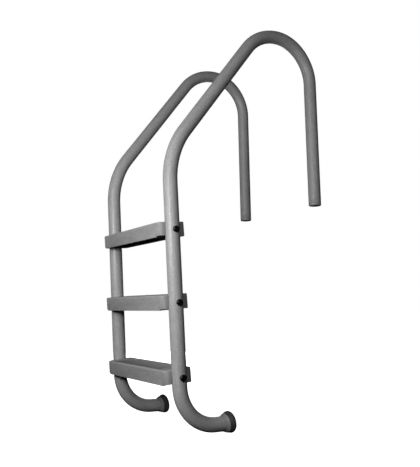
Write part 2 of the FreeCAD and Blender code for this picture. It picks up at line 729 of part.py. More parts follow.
def check_document():
    for item in doc.Objects:
        if "Invalid" in item.State or "Error" in item.State:
            raise RuntimeError(f"{item.Name} ({item.Label}) failed: {item.State}")
    for item in doc.Objects:
        if item.TypeId == "PartDesign::Pocket":
            removed = item.BaseFeature.Shape.Volume - item.Shape.Volume
            if removed < 1:
                raise RuntimeError(f"{item.Name} removes nothing")
        if item.TypeId == "PartDesign::Pad" and item.BaseFeature is not None:
            added = item.Shape.Volume - item.BaseFeature.Shape.Volume
            if added < 1:
                raise RuntimeError(f"{item.Name} adds nothing")
    for piece in parts:
        if piece.Shape.isNull() or not piece.Shape.isValid() or len(piece.Shape.Solids) != 1:
            raise RuntimeError(f"{piece.Label} isn't one valid solid")


check_document()
os.makedirs("parts", exist_ok=True)
for piece in parts:
    piece.Shape.exportStep(f"parts/{piece.Label}.step")
    box = piece.Shape.BoundBox
    print(f"{piece.Label}: {piece.Shape.Volume:.0f} mm3, Z {box.ZMin:.1f} to {box.ZMax:.1f}")
print(f"{len(parts)} parts")
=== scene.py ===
import math

import bmesh
import bpy
from mathutils import Matrix, Quaternion, Vector


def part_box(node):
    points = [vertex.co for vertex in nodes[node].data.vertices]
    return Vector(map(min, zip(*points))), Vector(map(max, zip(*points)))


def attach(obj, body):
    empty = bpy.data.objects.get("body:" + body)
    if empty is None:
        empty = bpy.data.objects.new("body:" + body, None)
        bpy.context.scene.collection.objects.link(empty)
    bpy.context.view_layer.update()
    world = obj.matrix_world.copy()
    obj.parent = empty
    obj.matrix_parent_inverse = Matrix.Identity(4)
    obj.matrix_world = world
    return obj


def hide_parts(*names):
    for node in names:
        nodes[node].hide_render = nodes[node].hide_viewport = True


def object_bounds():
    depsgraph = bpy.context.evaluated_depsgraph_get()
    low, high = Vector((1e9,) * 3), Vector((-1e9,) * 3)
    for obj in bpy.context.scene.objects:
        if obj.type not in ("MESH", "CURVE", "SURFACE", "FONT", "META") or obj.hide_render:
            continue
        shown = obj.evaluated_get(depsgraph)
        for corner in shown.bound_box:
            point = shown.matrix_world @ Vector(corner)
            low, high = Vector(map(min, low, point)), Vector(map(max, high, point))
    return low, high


# Looks for the pool ladder. Everything is in metres, in the CAD model's frame: the
# origin is midway between the lower ends of the deck legs, +Z is up and +Y points
# from the water to the deck.

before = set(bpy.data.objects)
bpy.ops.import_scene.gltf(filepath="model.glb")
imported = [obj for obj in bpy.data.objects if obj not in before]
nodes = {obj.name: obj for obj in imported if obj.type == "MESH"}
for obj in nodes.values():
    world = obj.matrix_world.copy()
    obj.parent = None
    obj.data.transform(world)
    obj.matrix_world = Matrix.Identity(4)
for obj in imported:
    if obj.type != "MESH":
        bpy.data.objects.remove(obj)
cad_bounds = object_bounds()

MM = 0.001

# Sizes that both the meshes and the materials use. The bumper's bead runs round its
# flare, BUMPER_SEAM from the small end. It has its full height out to BEAD_FLAT on
# either side and ends at BEAD_FOOT.
TREAD_LENGTH = 442 * MM
TREAD_DEPTH = 97 * MM
TREAD_HEIGHT = 48.5 * MM
TREAD_SKIN = 4 * MM
WELL_LENGTH = 330 * MM
WELL_WIDTH = 81 * MM
WELL_DEPTH = 4 * MM
HOLLOW_LENGTH = 344 * MM
BUMPER_FLARE = 23 * MM
BUMPER_SEAM = 9 * MM
BEAD_FLAT = 0.8 * MM
BEAD_FOOT = 1.6 * MM
BEAD_HEIGHT = 0.6 * MM

SIDES = {"left": -1, "right": 1}
TREADS = ("top", "middle", "bottom")


# ------------------------------------------------------------ shader-node helpers


class Shader:
    """A material with a Principled surface, and short calls to add nodes to it."""

    def __init__(self, name, roughness, specular=0.5):
        self.material = bpy.data.materials.new(name)
        self.material.use_nodes = True
        self.tree = self.material.node_tree
        self.surface = self.tree.nodes["Principled BSDF"]
        self.surface.inputs["Roughness"].default_value = roughness
        self.surface.inputs["Specular IOR Level"].default_value = specular

    def add(self, kind, inputs=(), **settings):
        node = self.tree.nodes.new(f"ShaderNode{kind}")
        for key, value in settings.items():
            setattr(node, key, value)
        for socket, value in inputs:
            if isinstance(value, bpy.types.NodeSocket):
                self.tree.links.new(value, node.inputs[socket])
            else:
                node.inputs[socket].default_value = value
        return node

    def place(self, scale=(1, 1, 1), attribute=None):
        """Object coordinates, or a stored vector attribute, stretched by scale."""
        if attribute:
            source = self.add("Attribute", attribute_name=attribute).outputs["Vector"]
        else:
            source = self.add("TexCoord").outputs["Object"]
        return self.add("Mapping", [("Vector", source), ("Scale", scale)]).outputs["Vector"]

    def noise(self, where, scale, detail=3.0, roughness=0.5):
        """Cloudy noise, 0 to 1; a larger scale gives smaller clouds."""
        inputs = [("Vector", where), ("Scale", scale)]
        inputs += [("Detail", detail), ("Roughness", roughness)]
        return self.add("TexNoise", inputs).outputs["Fac"]

    def levels(self, value, low, high, out_low=0.0, out_high=1.0):
        """Stretch the range low to high of a value to out_low to out_high."""
        inputs = [(0, value), (1, low), (2, high), (3, out_low), (4, out_high)]
        return self.add("MapRange", inputs).outputs[0]

    def math(self, operation, first, second):
        return self.add("Math", [(0, first), (1, second)], operation=operation).outputs[0]

    def mix(self, factor, first, second):
        node = self.add("Mix", data_type="RGBA")
        for socket, value in ((0, factor), (6, first), (7, second)):
            if isinstance(value, bpy.types.NodeSocket):
                self.tree.links.new(value, node.inputs[socket])
            else:
                node.inputs[socket].default_value = value
        return node.outputs[2]

    def bump(self, height, strength, distance, below=None):
        """A normal bent by a height, on top of the bump below it."""
        inputs = [("Height", height), ("Strength", strength), ("Distance", distance)]
        if below is not None:
            inputs.append(("Normal", below))
        return self.add("Bump", inputs).outputs["Normal"]

    def finish(self, **sockets):
        names = {"colour": "Base Color", "roughness": "Roughness", "normal": "Normal"}
        for key, value in sockets.items():
            self.tree.links.new(value, self.surface.inputs[names[key]])
        return self.material


def grey(value):
    """An opaque neutral colour."""
    return (value, value, value, 1)


# ------------------------------------------------------------------------ materials


def polymer(
    name,
    tone,
    roughness,
    space=None,
    stretch=(60, 60, 60),
    grain=900.0,
    grain_depth=0.05,
    coat=0.0,
    shade=None,
):
    """Graphite moulding or extrusion: cloudy colour, flow lines along it, fine grain.

    The flow lines follow the vector attribute named space, or else object coordinates.
    shade, where given, is a function that paints shade and light into the colour in parts of
    the piece.
    """
    shader = Shader(name, roughness, specular=0.3)
    shader.surface.inputs["Coat Weight"].default_value = coat
    shader.surface.inputs["Coat Roughness"].default_value = 0.2
    plain = shader.place()
    clouds = shader.levels(shader.noise(plain, 22.0, 5.0, 0.65), 0.3, 0.7)
    base = shader.mix(clouds, grey(tone * 0.9), grey(tone * 1.08))
    flow = shader.noise(shader.place(stretch, space), 1.0, 5.0, 0.65)
    lines = shader.levels(flow, 0.35, 0.7)
    streaked = shader.mix(lines, base, grey(tone * 1.3))
    specks = shader.levels(shader.noise(plain, 240.0, 3.0), 0.48, 0.72, 0.0, 0.62)
    colour = shader.mix(specks, streaked, grey(tone * 0.58))
    if shade:
        colour = shade(shader, colour, tone)
    gloss = shader.levels(lines, 0.0, 1.0, roughness - 0.05, roughness + 0.07)
    fine = shader.noise(plain, grain, 2.0)
    slow = shader.bump(shader.noise(plain, 70.0, 3.0), 0.025, 0.0012)
    normal = shader.bump(fine, grain_depth, 0.0004, slow)
    return shader.finish(colour=colour, roughness=gloss, normal=normal)


def shade_tread(shader, colour, tone):
    """Darken a tread's grip well with painted shadow and its underside with painted shade;
    lighten its ends with painted light and its front top edge with a painted highlight.
    """
    over = 0.6 * MM  # how far a shaded area reaches into the walls round it
    step = 4.6 * MM  # the underside's shade reaches this far up, past the end reliefs
    edge = 2.5 * MM  # and stops this far inside the outline
    # The paler colour here is painted light on the ends and a painted highlight on the front
    # top edge.
    painted_light_tone = grey(tone * 1.5)
    top = TREAD_HEIGHT / 2
    end = TREAD_LENGTH / 2
    place = shader.place(attribute="tread_space")
    parts = shader.add("SeparateXYZ", [("Vector", place)]).outputs
    along = shader.math("ABSOLUTE", parts["X"], 0.0)
    across = shader.math("ABSOLUTE", parts["Y"], 0.0)

    def within(half_length, half_depth):
        in_length = shader.math("LESS_THAN", along, half_length)
        return shader.math("MULTIPLY", in_length, shader.math("LESS_THAN", across, half_depth))

    # Painted shadow: the well is darkened as if the front rim shades it, most at its front and
    # less towards the rear.
    in_well = within(WELL_LENGTH / 2 + over, WELL_WIDTH / 2 + over)
    fading = shader.levels(parts["Y"], -20 * MM, 32 * MM, 0.85, 0.3)
    painted_rim_shadow = shader.math("MULTIPLY", in_well, fading)
    with_painted_well_shadow = shader.mix(painted_rim_shadow, colour, grey(tone * 0.42))

    # Painted shade: the hollow under the plate and the underside are darkened almost to black,
    # as if unlit.
    below_plate = shader.math("LESS_THAN", parts["Z"], top - WELL_DEPTH - MM)
    in_hollow = within(HOLLOW_LENGTH / 2 + over, TREAD_DEPTH / 2 - TREAD_SKIN + over)
    underside = shader.math("LESS_THAN", parts["Z"], step - top)
    in_outline = within(end - edge, TREAD_DEPTH / 2 - edge)
    hollow = shader.math("MULTIPLY", in_hollow, below_plate)
    painted_underside_shade = shader.math("MAXIMUM", hollow, shader.math("MULTIPLY", in_outline, underside))
    with_painted_underside_shade = shader.mix(painted_underside_shade, with_painted_well_shadow, grey(tone * 0.15))

    # Painted light: the last few mm of each end are lightened, standing in for light on the
    # end faces.
    painted_end_light = shader.levels(along, end - 6 * MM, end - MM, 0.0, 0.7)
    ends = shader.mix(painted_end_light, with_painted_underside_shade, painted_light_tone)
    # Painted highlight: a pale band along the front top edge.
    at_front = shader.math("LESS_THAN", parts["Y"], WELL_WIDTH / -2 - MM)
    painted_edge_highlight = shader.levels(parts["Z"], top - 6 * MM, top - 2 * MM, 0.0, 0.55)
    return shader.mix(shader.math("MULTIPLY", at_front, painted_edge_highlight), ends, painted_light_tone)


def rubber(name, tone, end_tone, roughness):
    """Moulded rubber: a grey flare, a bead painted paler as a highlight, and a dark end,
    scuffed and grainy.
    """
    shader = Shader(name, roughness, specular=0.25)
    plain = shader.place()
    marks = shader.noise(shader.place((90, 90, 200)), 1.0, 6.0, 0.7)
    scuffs = shader.levels(marks, 0.5, 0.8)
    clouds = shader.levels(shader.noise(plain, 60.0, 4.0), 0.3, 0.7)
    base = shader.mix(clouds, grey(tone * 0.9), grey(tone * 1.1))
    flare = shader.mix(scuffs, base, grey(tone * 1.3))
    end = shader.mix(scuffs, grey(end_tone), grey(end_tone * 1.8))
    place = shader.place(attribute="bumper_space")
    along = shader.add("SeparateXYZ", [("Vector", place)]).outputs["Z"]
    # Painted highlight: the band at the bead is lightened, standing in for the light line
    # along it.
    bead = shader.levels(along, BUMPER_SEAM - 2.5 * MM, BUMPER_SEAM - 1 * MM, 0.0, 0.85)
    with_painted_bead_highlight = shader.mix(bead, flare, grey(tone * 1.5))
    past = shader.levels(along, BUMPER_SEAM + BEAD_FLAT, BUMPER_SEAM + BEAD_FOOT)
    colour = shader.mix(past, with_painted_bead_highlight, end)
    gloss = shader.levels(scuffs, 0.0, 1.0, roughness, roughness + 0.12)
    normal = shader.bump(shader.noise(plain, 700.0, 3.0), 0.12, 0.0005)
    return shader.finish(colour=colour, roughness=gloss, normal=normal)


def black_plastic(name):
    """Semi-gloss black caps and washers."""
    shader = Shader(name, roughness=0.2, specular=0.3)
    plain = shader.place()
    haze = shader.levels(shader.noise(plain, 120.0, 4.0), 0.35, 0.7)
    colour = shader.mix(haze, grey(0.002), grey(0.006))
    gloss = shader.levels(haze, 0.0, 1.0, 0.16, 0.28)
    normal = shader.bump(shader.noise(plain, 1100.0, 2.0), 0.06, 0.0003)
    return shader.finish(colour=colour, roughness=gloss, normal=normal)


def stainless(name):
    """Bright stainless fasteners with turning marks."""
    shader = Shader(name, roughness=0.25)
    shader.surface.inputs["Metallic"].default_value = 1.0
    rings = shader.noise(shader.place((900, 60, 60)), 1.0, 3.0)
    colour = shader.mix(rings, grey(0.5), grey(0.68))
    gloss = shader.levels(rings, 0.3, 0.7, 0.18, 0.36)
    normal = shader.bump(rings, 0.08, 0.0002)
    return shader.finish(colour=colour, roughness=gloss, normal=normal)


SHEEN = 0.17
RAIL = polymer("rail_graphite", 0.285, 0.46, "tube_space", (6, 6, 2.2), coat=SHEEN)
TREAD = polymer(
    "tread_graphite",
    tone=0.222,
    roughness=0.6,
    space="tread_space",
    stretch=(22, 230, 230),
    grain=620.0,
    grain_depth=0.16,
    shade=shade_tread,
)
PLUG = polymer("plug_graphite", 0.26, 0.44, coat=SHEEN)
RUBBER = rubber("bumper_rubber", tone=0.172, end_tone=0.042, roughness=0.5)
BLACK = black_plastic("cap_black")
STEEL = stainless("fastener_steel")


# --------------------------------------------------------------------- mesh helpers


def new_piece(name, mesh, material, replaced):
    """A finished piece: its material, its body and the CAD node that it stands for."""
    piece = bpy.data.objects.new(name, mesh)
    bpy.context.scene.collection.objects.link(piece)
    mesh.materials.clear()
    mesh.materials.append(material)
    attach(piece, "root")
    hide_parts(replaced)
    return piece


def smooth_by_angle(mesh, degrees):
    """Smooth shading, with edges sharper than the angle kept crisp."""
    for polygon in mesh.polygons:
        polygon.use_smooth = True
    work = bmesh.new()
    work.from_mesh(mesh)
    for edge in work.edges:
        if len(edge.link_faces) == 2:
            edge.smooth = edge.calc_face_angle(0) < math.radians(degrees)
    work.to_mesh(mesh)
    work.free()


def join_close_points(mesh, distance=0.005 * MM):
    """Merge points that a boolean leaves almost on top of each other."""
    work = bmesh.new()
    work.from_mesh(mesh)
    bmesh.ops.remove_doubles(work, verts=work.verts, dist=distance)
    work.to_mesh(mesh)
    work.free()


def keep_space(mesh, name, locate):
    """Store each vertex's place in the piece's own space, for its material."""
    space = mesh.attributes.new(name, "FLOAT_VECTOR", "POINT")
    for vertex in mesh.vertices:
        space.data[vertex.index].vector = locate(vertex.co)


def skin_rings(rings, closed_loop=False):
    """Vertices and quads that join a list of equal rings of points."""
    count = len(rings[0])
    points = [point for ring in rings for point in ring]
    faces = []
    last = len(rings) if closed_loop else len(rings) - 1
    for first in range(last):
        second = (first + 1) % len(rings)
        for step in range(count):
            after = (step + 1) % count
            here, there = first * count, second * count
            faces.append((here + step, here + after, there + after, there + step))
    return points, faces


def mesh_from(name, points, faces, sharp=35.0):
    """A mesh with its double points joined and its faces turned outwards."""
    mesh = bpy.data.meshes.new(name)
    mesh.from_pydata([tuple(point) for point in points], [], faces)
    work = bmesh.new()
    work.from_mesh(mesh)
    bmesh.ops.remove_doubles(work, verts=work.verts, dist=1e-7)
    bmesh.ops.recalc_face_normals(work, faces=work.faces)
    work.to_mesh(mesh)
    work.free()
    smooth_by_angle(mesh, sharp)
    return mesh


def arc_points(centre, radius, first, last, steps):
    """Points on a flat arc, in degrees, both ends included."""
    points = []
    for step in range(steps + 1):
        angle = math.radians(first + (last - first) * step / steps)
        across, up = radius * math.cos(angle), radius * math.sin(angle)
        points.append((centre[0] + across, centre[1] + up))
    return points


def turned(name, profile, segments=96, sharp=35.0):
    """A mesh turned about Z from (radius, height) points; radius 0 closes an end."""
    points = []
    faces = []
    rings = []
    for radius, height in profile:
        if radius < 1e-9:
            rings.append([len(points)])
            points.append((0, 0, height))
        else:
            ring = []
            for step in range(segments):
                angle = 2 * math.pi * step / segments
                ring.append(len(points))
                points.append((radius * math.cos(angle), radius * math.sin(angle), height))
            rings.append(ring)
    for lower, upper in zip(rings, rings[1:]):
        for step in range(segments):
            after = (step + 1) % segments
            if len(lower) == 1:
                faces.append((lower[0], upper[after], upper[step]))
            elif len(upper) == 1:
                faces.append((lower[step], lower[after], upper[0]))
            else:
                faces.append((lower[step], lower[after], upper[after], upper[step]))
    return mesh_from(name, points, faces, sharp)


# -------------------------------------------------------------------- rail geometry

TUBE_RADIUS = 24.15 * MM
TUBE_WALL = 6.35 * MM
TUBE_SEGMENTS = 72
SPACE_PER_METRE = 10  # how far a metre of rail reaches in tube_space
RAIL_OFFSET = 222 * MM
PLUG_FLANGE = 9 * MM
FIT_GAP = 0.1 * MM  # round the tube, in a saddle or a bumper

# Straights are (length,) and bends (axis radius, turn in degrees), from the deck leg's
# end over the handrail and down the water leg to the foot.
RUNS = (
    (485.4 * MM,),
    (155.5 * MM, 92.3),
    (202.6 * MM, 50.0),
    (454.6 * MM,),
    (281.5 * MM, 40.0),
    (659.0 * MM,),
    (137.4 * MM, 84.8),
    (55.0 * MM,),
)
WATER_LEG = 5
BUMPER_TILT = 10.0
STRAIGHT_STEP = 30 * MM
BEND_STEP = 2.5


def heading_vector(heading):
    """A unit vector in the Y-Z plane; 0 degrees is +Y and 90 is +Z."""
    return Vector((0, math.cos(math.radians(heading)), math.sin(math.radians(heading))))


def trace_rail():
    """The rail's axis as (y, z, heading in degrees, distance), and each run's start."""
    y, z, heading, distance = 0.0, PLUG_FLANGE, 90.0, 0.0
    stations = [(y, z, heading, distance)]
    starts = []
    for run in RUNS:
        starts.append((y, z, heading))
        if len(run) == 1:
            steps = max(1, round(run[0] / STRAIGHT_STEP))
            along = (math.cos(math.radians(heading)), math.sin(math.radians(heading)))
            for step in range(1, steps + 1):
                gone = run[0] * step / steps
                place = (y + along[0] * gone, z + along[1] * gone)
                stations.append((*place, heading, distance + gone))
            y, z = stations[-1][:2]
            distance += run[0]
        else:
            radius, turn = run
            steps = max(1, round(turn / BEND_STEP))
            centre_y = y - radius * math.sin(math.radians(heading))
            centre_z = z + radius * math.cos(math.radians(heading))
            for step in range(1, steps + 1):
                now = heading + turn * step / steps
                stations.append(
                    (
                        centre_y + radius * math.sin(math.radians(now)),
                        centre_z - radius * math.cos(math.radians(now)),
                        now,
                        distance + radius * math.radians(turn) * step / steps,
                    )
                )
            y, z, heading = stations[-1][:3]
            distance += radius * math.radians(turn)
    return stations, starts


STATIONS, STARTS = trace_rail()
LEG_HEADING = STARTS[WATER_LEG][2]


def tube_ring(across, station, radius, shift=0.0):
    """Points round the rail's axis at a station; shift moves them along the axis."""
    y, z, heading = station[:3]
    along = heading_vector(heading)
    side = Vector((0, -along.z, along.y))
    centre = Vector((across, y, z)) + along * shift
    points = []
    for step in range(TUBE_SEGMENTS):
        angle = 2 * math.pi * step / TUBE_SEGMENTS
        outward = Vector((radius * math.cos(angle), 0, 0))
        points.append(centre + outward + side * (radius * math.sin(angle)))
    return points


def tube_rings(across):
    """The outside from the deck leg to the foot, then the bore back, with distances."""
    first, last = STATIONS[0], STATIONS[-1]
    ease = 0.7 * MM
    small = TUBE_RADIUS - ease
    rings = [tube_ring(across, first, small), tube_ring(across, first, TUBE_RADIUS, ease)]
    distances = [0.0, ease]
    for station in STATIONS[1:-1]:
        rings.append(tube_ring(across, station, TUBE_RADIUS))
        distances.append(station[3])
    rings += [tube_ring(across, last, TUBE_RADIUS, -ease), tube_ring(across, last, small)]
    distances += [last[3] - ease, last[3]]
    for station in reversed(STATIONS):
        rings.append(tube_ring(across, station, TUBE_RADIUS - TUBE_WALL))
        distances.append(station[3])
    return rings, distances


def make_rail(side_name):
    """The bent tube, hollow, with eased ends."""
    rings, distances = tube_rings(SIDES[side_name] * RAIL_OFFSET)
    points, faces = skin_rings(rings, closed_loop=True)
    mesh = bpy.data.meshes.new(f"{side_name}_rail_tube")
    mesh.from_pydata([tuple(point) for point in points], [], faces)
    # The material's flow lines need each point's place round the tube and along it.
    space = mesh.attributes.new("tube_space", "FLOAT_VECTOR", "POINT")
    for number, distance in enumerate(distances):
        for step in range(TUBE_SEGMENTS):
            angle = 2 * math.pi * step / TUBE_SEGMENTS
            where = (math.cos(angle), math.sin(angle), distance * SPACE_PER_METRE)
            space.data[number * TUBE_SEGMENTS + step].vector = where
    work = bmesh.new()
    work.from_mesh(mesh)
    bmesh.ops.recalc_face_normals(work, faces=work.faces)
    work.to_mesh(mesh)
    work.free()
    smooth_by_angle(mesh, 50)
    new_piece(f"{side_name}_rail_tube", mesh, RAIL, f"{side_name}_rail")


def make_plug(side_name):
    """The plug: a flange with a well rounded lower edge, and its spigot."""
    spigot = 17.7 * MM
    bore = 14.7 * MM
    reach = PLUG_FLANGE + 26 * MM
    edge = 4 * MM
    ease = 0.7 * MM
    dimple = 9 * MM
    dimple_depth = 1.2 * MM
    profile = [(0, dimple_depth), (dimple, dimple_depth), (dimple + dimple_depth, 0)]
    profile += arc_points((TUBE_RADIUS - edge, edge), edge, -90, 0, 8)
    profile += [(TUBE_RADIUS, PLUG_FLANGE - ease), (TUBE_RADIUS - ease, PLUG_FLANGE)]
    profile += [(spigot, PLUG_FLANGE), (spigot, reach), (bore, reach)]
    profile += [(bore, PLUG_FLANGE), (0, PLUG_FLANGE)]
    mesh = turned(f"{side_name}_plug", profile)
    mesh.transform(Matrix.Translation((SIDES[side_name] * RAIL_OFFSET, 0, 0)))
    new_piece(f"{side_name}_plug", mesh, PLUG, f"{side_name}_leg_plug")


def make_bumper(side_name):
    """The flared rubber end piece on the foot, tipped up from the foot's axis."""
    lip = 26.4 * MM
    wide = 35.3 * MM
    length = 35 * MM
    edge = 9 * MM
    depth = 23 * MM
    lead = 6 * MM
    ease = 0.6 * MM
    shoulder = 2 * MM
    pad = 20 * MM
    pad_depth = 0.8 * MM
    cone = Vector((wide - lip, BUMPER_FLARE)).normalized()
    profile = [(0, 0), (lip - ease, 0), (lip + cone.x * ease, cone.y * ease)]
    bead = [(-BEAD_FOOT, 0), (-BEAD_FLAT, BEAD_HEIGHT)]
    bead += [(BEAD_FLAT, BEAD_HEIGHT), (BEAD_FOOT, 0)]
    for along, proud in bead:
        gone = BUMPER_SEAM + along
        profile.append((lip + gone * (wide - lip) / BUMPER_FLARE + proud, gone))
    # Three points round the shoulder where the flare ends.
    profile.append((wide - cone.x * shoulder, BUMPER_FLARE - cone.y * shoulder))
    profile.append((wide - 0.15 * cone.x * shoulder, BUMPER_FLARE))
    profile.append((wide, BUMPER_FLARE + shoulder))
    profile += arc_points((wide - edge, length - edge), edge, 0, 90, 12)
    profile += [(pad + MM, length), (pad, length - pad_depth), (0, length - pad_depth)]
    y, z, heading = STATIONS[-1][:3]
    foot = heading_vector(heading)
    outward = heading_vector(heading + BUMPER_TILT)
    origin = Vector((SIDES[side_name] * RAIL_OFFSET, y, z)) - foot * depth
    cup = solid("cup", turned(f"{side_name}_bumper_cup", profile))
    cup.data.transform(outward.to_track_quat("Z", "X").to_matrix().to_4x4())
    cup.data.transform(Matrix.Translation(origin))
    reach = (origin - foot * lead, origin + foot * depth)
    socket = cylinder("socket", TUBE_RADIUS + FIT_GAP, *reach)
    combine(cup, [socket], "DIFFERENCE")
    mesh = cup.data
    join_close_points(mesh)
    bpy.data.objects.remove(cup)
    keep_space(mesh, "bumper_space", lambda point: (0, 0, (point - origin).dot(outward)))
    smooth_by_angle(mesh, 35)
    new_piece(f"{side_name}_bumper_cup", mesh, RUBBER, f"{side_name}_bumper")


# ---------------------------------------------------------------------------- treads

TREAD_FORWARD = 2.2 * MM
TREAD_LEAN = math.radians(1.9)
TREAD_TILT = math.radians(LEG_HEADING - 270) + TREAD_LEAN
BOLT_DROP = 3 * MM

# The nut's pocket reaches POCKET_DEPTH into the end wall. A relief is a block centred
# on each lower front corner, so half of its length and height lies outside the tread.
BOLT_HOLE_RADIUS = 4.5 * MM
POCKET_FLATS = 13.3 * MM
POCKET_DEPTH = 8.4 * MM
RELIEF_LENGTH = 42 * MM
RELIEF_HEIGHT = 8 * MM
WEB_THICKNESS = 3 * MM
WEB_HEIGHT = 16 * MM
WEB_PITCH = 86 * MM
GRIP_COUNT = 9
GRIP_PITCH = 8 * MM
GRIP_LENGTH = 318 * MM
GRIP_WIDTH = 2.4 * MM
GRIP_HEIGHT = 1.8 * MM


def solid(name, mesh):
    """A helper object for boolean work, removed afterwards."""
    item = bpy.data.objects.new(name, mesh)
    bpy.context.scene.collection.objects.link(item)
    return item


def slab(name, size, centre, corners=None, draft=0.0, steps=8):
    """A block; corners are the rear and front upright radii, draft narrows its foot."""
    outlines = []
    for level, shrink in ((-0.5, draft), (0.5, 0.0)):
        half_x = size[0] / 2 - shrink
        half_y = size[1] / 2 - shrink
        outline = []
        for quarter, (sx, sy) in enumerate(((1, 1), (-1, 1), (-1, -1), (1, -1))):
            if corners is None:
                outline.append((sx * half_x, sy * half_y))
            else:
                radius = corners[0] if sy > 0 else corners[1]
                middle = (sx * (half_x - radius), sy * (half_y - radius))
                outline += arc_points(middle, radius, quarter * 90, quarter * 90 + 90, steps)
        height = centre[2] + level * size[2]
        outlines.append([(centre[0] + x, centre[1] + y, height) for x, y in outline])
    points, faces = skin_rings(outlines)
    count = len(outlines[0])
    faces.append(tuple(range(count)))
    faces.append(tuple(range(count, 2 * count)))
    return solid(name, mesh_from(name, points, faces))


def cylinder(name, radius, start, end, segments=96):
    """A closed cylinder between two points; six segments make a hexagon, corner up."""
    along = end - start
    profile = [(0, 0), (radius, 0), (radius, along.length), (0, along.length)]
    mesh = turned(name, profile, segments)
    mesh.transform(along.to_track_quat("Z", "X").to_matrix().to_4x4())
    mesh.transform(Matrix.Translation(start))
    return solid(name, mesh)


def combine(base, tools, operation):
    """Apply a boolean with each tool and delete the tool."""
    for tool in tools:
        change = base.modifiers.new("boolean", "BOOLEAN")
        change.operation = operation
        change.solver = "EXACT"
        change.object = tool
        settle(base)
        bpy.data.meshes.remove(tool.data)


def settle(item):
    """Turn an object's modifiers into mesh."""
    bpy.context.view_layer.update()
    graph = bpy.context.evaluated_depsgraph_get()
    mesh = bpy.data.meshes.new_from_object(item.evaluated_get(graph))
    item.modifiers.clear()
    old = item.data
    item.data = mesh
    bpy.data.meshes.remove(old)


def bevel(item, width, segments, angle):
    """Round every edge sharper than the angle."""
    change = item.modifiers.new("bevel", "BEVEL")
    change.width = width
    change.segments = segments
    change.limit_method = "ANGLE"
    change.angle_limit = math.radians(angle)
    change.miter_outer = "MITER_ARC"
    change.use_clamp_overlap = True
    settle(item)


def hollow_and_well(plate_under, well_floor):
    """What is cut out under the tread's plate and over it."""
    over = 10 * MM
    depth = TREAD_DEPTH - 2 * TREAD_SKIN
    hollow_size = (HOLLOW_LENGTH, depth, plate_under + TREAD_HEIGHT / 2 + over)
    hollow_centre = (0, 0, plate_under - hollow_size[2] / 2)
    well_size = (WELL_LENGTH, WELL_WIDTH, over)
    well_centre = (0, 0, well_floor + over / 2)
    return [
        slab("hollow", hollow_size, hollow_centre, corners=(3 * MM, 3 * MM)),
        slab("well", well_size, well_centre, corners=(6 * MM, 6 * MM), draft=0.8 * MM),
    ]


def end_cuts():
    """The saddle, bolt hole, nut pocket and relief at each end of a tread."""
    cuts = []
    leg = Vector((0, math.sin(TREAD_LEAN), math.cos(TREAD_LEAN)))
    reach = leg * TREAD_HEIGHT
    pocket_radius = POCKET_FLATS / 2 / math.cos(math.radians(30))
    relief_size = (RELIEF_LENGTH, TREAD_DEPTH, RELIEF_HEIGHT)
    for side in SIDES.values():
        crossing = Vector((side * RAIL_OFFSET, TREAD_FORWARD, 0))
        bolt = crossing - leg * BOLT_DROP
        inner = Vector((side * (HOLLOW_LENGTH / 2 - MM), bolt.y, bolt.z))
        floor = Vector((side * (HOLLOW_LENGTH / 2 + POCKET_DEPTH), bolt.y, bolt.z))
        corner = (side * (TREAD_LENGTH / 2), -TREAD_DEPTH / 2, -(TREAD_HEIGHT / 2))
        saddle = (crossing - reach, crossing + reach)
        cuts.append(cylinder("saddle", TUBE_RADIUS + FIT_GAP, *saddle))
        cuts.append(cylinder("bolt_hole", BOLT_HOLE_RADIUS, inner, bolt, segments=32))
        cuts.append(cylinder("nut_pocket", pocket_radius, inner, floor, segments=6))
        cuts.append(slab("relief", relief_size, corner))
    return cuts


def tread_webs(plate_under):
    """One long web and three short ones under the plate, let into it and the walls."""
    height = WEB_HEIGHT + MM
    level = plate_under - WEB_HEIGHT / 2 + 0.5 * MM
    long_size = (HOLLOW_LENGTH + 2 * MM, WEB_THICKNESS, height)
    short_size = (WEB_THICKNESS, TREAD_DEPTH - 2 * TREAD_SKIN + 2 * MM, height)
    webs = [slab("web", long_size, (0, 0, level))]
    for number in (-1, 0, 1):
        webs.append(slab("web", short_size, (number * WEB_PITCH, 0, level)))
    return webs


def tread_grips(well_floor):
    """Rounded ribs along the well, let into its floor."""
    sunk = 0.5 * MM
    size = (GRIP_LENGTH, GRIP_WIDTH, GRIP_HEIGHT + sunk)
    grips = []
    for number in range(GRIP_COUNT):
        y = (number - GRIP_COUNT // 2) * GRIP_PITCH
        centre = (0, y, well_floor + GRIP_HEIGHT / 2 - sunk / 2)
        grip = slab("grip", size, centre, corners=(1.1 * MM, 1.1 * MM), steps=4)
        bevel(grip, width=0.6 * MM, segments=3, angle=60)
        grips.append(grip)
    return grips


def tread_mesh():
    """One tread about its own centre: X along it, Y towards the deck, Z up the leg."""
    top = TREAD_HEIGHT / 2
    well_floor = top - WELL_DEPTH
    plate_under = well_floor - TREAD_SKIN
    size = (TREAD_LENGTH, TREAD_DEPTH, TREAD_HEIGHT)
    body = slab("tread", size, (0, 0, 0), corners=(5 * MM, 17 * MM), steps=12)
    round_rim(body, top, radius=4 * MM, segments=6)
    round_rim(body, -top, radius=1.5 * MM, segments=3)
    combine(body, hollow_and_well(plate_under, well_floor) + end_cuts(), "DIFFERENCE")
    combine(body, tread_webs(plate_under), "UNION")
    combine(body, tread_grips(well_floor), "UNION")
    bevel(body, width=0.45 * MM, segments=2, angle=40)
    mesh = body.data
    bpy.data.objects.remove(body)
    keep_space(mesh, "tread_space", lambda point: point)
    smooth_by_angle(mesh, 38)
    return mesh


